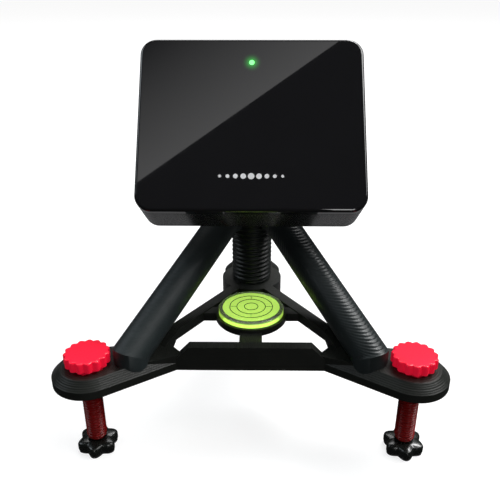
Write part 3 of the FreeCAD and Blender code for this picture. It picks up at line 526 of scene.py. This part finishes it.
# ---- mast ---------------------------------------------------------------------
def mast():
    """Ridged column: a rounded thread climbs it in one start."""
    x, y, z0, z1 = 0.0, 23.0, 44.5, 81.0
    pitch, crest_r, root_r = 2.1, 9.25, 8.55
    count, per_turn = 72, 14
    steps = int((z1 - z0) / pitch * per_turn)
    spigot_z, spigot_r = 40.0, 7.0                  # plain end that stands in the frame
    spigot = [(0.02, spigot_z), (spigot_r - 0.1, spigot_z), (spigot_r, spigot_z + 0.1), (spigot_r, z0)]
    rings = lathe_rings(spigot + [(root_r, z0)], (x, y), count)
    for k in range(steps + 1):
        z = z0 + (z1 - z0) * k / steps
        fade = min(1.0, (z - z0) / 1.2, (z1 - z) / 1.2)
        ring = []
        for i in range(count):
            a = 2 * math.pi * i / count
            phase = (z / pitch - a / (2 * math.pi)) % 1.0
            swell = 0.5 * (1 - math.cos(2 * math.pi * phase))
            r = root_r + (crest_r - root_r) * swell ** 0.8 * max(0.0, fade)
            ring.append(Vector((x + r * math.cos(a), y + r * math.sin(a), z)) * MM)
        rings.append(ring)
    bm = bmesh.new()
    skin(bm, rings)
    finish_mesh("ridged_mast", bm, MAST_PRINT, "base", ["mast"], 60)


mast()


# ---- level --------------------------------------------------------------------
def level():
    """Bullseye level: thick clear cup, domed window and bright liquid; the bubble and printed rings are not
    built here.
    """
    low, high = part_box("level_vial")
    c = ((low.x + high.x) / 2 / MM, (low.y + high.y) / 2 / MM)
    z0, z1 = low.z / MM, high.z / MM
    wet0, wet1 = (v.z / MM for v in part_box("level_fluid"))
    count = 128
    outer, inner = 13.9, 12.3
    cup = [(0.02, z0), (outer - 0.5, z0)] + arc_profile(outer - 0.5, z0 + 0.5, 0.5, -90, 0, 4)
    cup += arc_profile(outer - 0.7, z1 - 0.7, 0.7, 0, 90, 6)
    cup += [(inner + 0.35, z1), (inner, z1 - 0.2), (inner, wet0 - 0.3), (0.02, wet0 - 0.3)]
    bm = bmesh.new()
    skin(bm, lathe_rings(cup, c, count))
    finish_mesh("level_cup", bm, CUP_CLEAR_PAINTED_GLOW, "base", ["level_vial"])
    edge = inner - 0.02
    dome = [(0.02, wet1 + 0.5), (4, wet1 + 0.44), (8, wet1 + 0.27), (edge, wet1 + 0.02)]
    lid = [(edge, z1 - 0.3), (edge - 0.2, z1 - 0.16), (8, z1 - 0.15), (0.02, z1 - 0.15)]
    bm = bmesh.new()
    skin(bm, lathe_rings(dome + lid, c, count))
    finish_mesh("level_glass", bm, CLEAR, "base", ["level_window"])
    wet = edge - 0.03
    liquid = [(0.02, wet0 + 0.02), (wet, wet0 + 0.02), (wet, wet1),
              (8, wet1 - 0.01), (4, wet1 - 0.02), (0.02, wet1 - 0.03)]
    bm = bmesh.new()
    skin(bm, lathe_rings(liquid, c, count))
    finish_mesh("level_dye", bm, LIQUID_PAINTED_GLOW, "base", ["level_fluid"])


level()


# ---- printed mark on the face ---------------------------------------------------
def face_point(x_mm, up_mm, out_mm=0.0):
    return FACE_FOOT + Vector((x_mm * MM, 0, 0)) + UP * up_mm * MM - BACK * out_mm * MM


def face_mark():
    """A plain printed row of dots that swells to the middle, in place of any lettering."""
    bm = bmesh.new()
    centre_up, spacing, dots_each_side = 13.8, 3.0, 4
    for k in range(-dots_each_side, dots_each_side + 1):
        r = 1.25 - 0.17 * abs(k)
        cx = k * spacing
        rings = []
        for rr, out in ((r, 0.0), (r, 0.025), (r * 0.05, 0.03)):
            ring = []
            for i in range(28):
                a = 2 * math.pi * i / 28
                ring.append(face_point(cx + rr * math.cos(a), centre_up + rr * math.sin(a), out))
            rings.append(ring)
        skin(bm, rings)
    finish_mesh("face_mark", bm, MARK, "monitor")


face_mark()


# ---- softened edges on the CAD pieces that stay ----------------------------------
for name, width in (("base_frame", 0.45), ("mast_head", 0.5), ("tilt_plate", 0.4)):
    piece = nodes[name]
    soften = piece.modifiers.new("soften", "BEVEL")
    soften.width = width * MM
    soften.segments = 3
    soften.limit_method = "ANGLE"
    soften.angle_limit = math.radians(28)
    soften.harden_normals = False


# ---- studio -------------------------------------------------------------------
def plain(name, colour, rough, own_light):
    mat = Mat(name, colour, rough)
    mat.vary_colour(mat.noise(400.0, 2.0), 0.985, 1.015)
    mat.b.inputs["Specular IOR Level"].default_value = 0.0
    mat.b.inputs["Emission Color"].default_value = (1, 1, 1, 1)
    mat.b.inputs["Emission Strength"].default_value = own_light
    return mat.m


def sheet(name, corners, material):
    """A single flat face that stays out of the visual model."""
    bm = bmesh.new()
    bm.faces.new([bm.verts.new(p) for p in corners])
    mesh = bpy.data.meshes.new(name)
    bm.to_mesh(mesh)
    bm.free()
    obj = bpy.data.objects.new(name, mesh)
    bpy.context.scene.collection.objects.link(obj)
    mesh.materials.append(material)
    return obj


def floor():
    size = 12.0
    corners = [(sx * size, sy * size, 0) for sx, sy in ((-1, -1), (1, -1), (1, 1), (-1, 1))]
    obj = sheet("floor", corners, plain("floor_pale", (0.36, 0.36, 0.36), 0.9, 0.76))
    obj.visible_diffuse = False
    obj.visible_glossy = False


def back_card():
    """Sheet on the floor behind the stand, seen only in glossy surfaces."""
    half, near, far, up = 0.5, 0.012, 0.5, 0.0005
    corners = [(-half, near, up), (half, near, up), (half, far, up), (-half, far, up)]
    obj = sheet("back_card", corners, plain("card_pale", (0.05, 0.05, 0.053), 0.9, 0.12))
    obj.visible_camera = False
    obj.visible_diffuse = False
    obj.visible_shadow = False


floor()
back_card()

CAM_AT = Vector((2.1, -234.6, 177.3)) * MM
CAM_DOWN, CAM_TURN = 24.81, 0.66
camera_data = bpy.data.cameras.new("camera")
camera = bpy.data.objects.new("camera", camera_data)
bpy.context.scene.collection.objects.link(camera)
camera.location = CAM_AT
camera.rotation_euler = (math.radians(90 - CAM_DOWN), 0, math.radians(CAM_TURN))
camera_data.sensor_width = 36.0
camera_data.lens = 43.2
camera_data.clip_start = 0.01
camera_data.clip_end = 100.0
bpy.context.scene.camera = camera


STAND_MIDDLE = (0, 0, 0.06)


def area(name, at, size, power, colour=(1, 1, 1), size_y=None):
    """Rectangular lamp turned to the middle of the stand."""
    data = bpy.data.lights.new(name, "AREA")
    data.energy = power
    data.color = colour
    data.shape = "RECTANGLE"
    data.size = size
    data.size_y = size_y or size
    obj = bpy.data.objects.new(name, data)
    obj.location = at
    obj.rotation_euler = (Vector(STAND_MIDDLE) - Vector(at)).to_track_quat("-Z", "Y").to_euler()
    bpy.context.scene.collection.objects.link(obj)


def reflected(face_spot, distance):
    """Where the camera's line to a spot on the face goes after it mirrors there."""
    normal = -BACK
    ray = (face_spot - CAM_AT).normalized()
    out = ray - 2 * ray.dot(normal) * normal
    return face_spot + out * distance


def sheen_light(start, side, width):
    """Light that fades across the card from its sharp edge."""
    bright, dim = 1.15, 0.02
    mat = bpy.data.materials.new("sheen_light")
    mat.use_nodes = True
    tree = mat.node_tree
    tree.nodes.clear()
    out = tree.nodes.new("ShaderNodeOutputMaterial")
    glow = tree.nodes.new("ShaderNodeEmission")
    coords = tree.nodes.new("ShaderNodeTexCoord")
    dot = tree.nodes.new("ShaderNodeVectorMath")
    dot.operation = "DOT_PRODUCT"
    dot.inputs[1].default_value = side
    ramp = tree.nodes.new("ShaderNodeMapRange")
    ramp.inputs["From Min"].default_value = start
    ramp.inputs["From Max"].default_value = start + width
    ramp.inputs["To Min"].default_value = bright
    ramp.inputs["To Max"].default_value = dim
    tree.links.new(coords.outputs["Object"], dot.inputs[0])
    tree.links.new(dot.outputs["Value"], ramp.inputs["Value"])
    tree.links.new(ramp.outputs["Result"], glow.inputs["Strength"])
    tree.links.new(glow.outputs[0], out.inputs["Surface"])
    return mat


def sheen_card():
    """Gradient card whose reflection fills the face's upper left and ends in a sharp diagonal."""
    reach = 0.55                                    # metres from the face to the card
    edge_a = reflected(face_point(36.0, 71.1), reach)
    edge_b = reflected(face_point(-44.5, 10.3), reach)
    corner = reflected(face_point(-46.0, 73.0), reach)
    along = edge_b - edge_a
    away = corner - edge_a
    away = away - along * (away.dot(along) / along.dot(along))
    a = edge_a - along * 0.25
    b = edge_b + along * 0.25
    far = away * 1.35
    side = away.normalized()
    obj = sheet("sheen_card", (a, b, b + far, a + far), sheen_light(a.dot(side), side, away.length))
    obj.visible_camera = False
    obj.visible_shadow = False


sheen_card()

world = bpy.data.worlds.new("studio")
bpy.context.scene.world = world
world.use_nodes = True
world.node_tree.nodes["Background"].inputs["Color"].default_value = (1, 1, 1, 1)
world.node_tree.nodes["Background"].inputs["Strength"].default_value = 0.03

area("right_high", (1.05, -0.02, 1.30), 1.1, 26)
area("left_high", (-1.2, 0.05, 1.15), 0.9, 7, (0.85, 0.93, 1.0))
area("back_high", (0.0, 1.1, 1.6), 1.4, 10, size_y=0.5)
area("front_strip", (0.35, -1.6, 0.45), 0.25, 4.5, size_y=0.9)
sun_data = bpy.data.lights.new("key", "SUN")
sun_data.energy = 1.8
sun_data.angle = math.radians(20)
sun = bpy.data.objects.new("key", sun_data)
sun.rotation_euler = Vector((0.35, 0.42, 0.9)).to_track_quat("Z", "Y").to_euler()
bpy.context.scene.collection.objects.link(sun)

bpy.context.scene.view_settings.view_transform = "Standard"
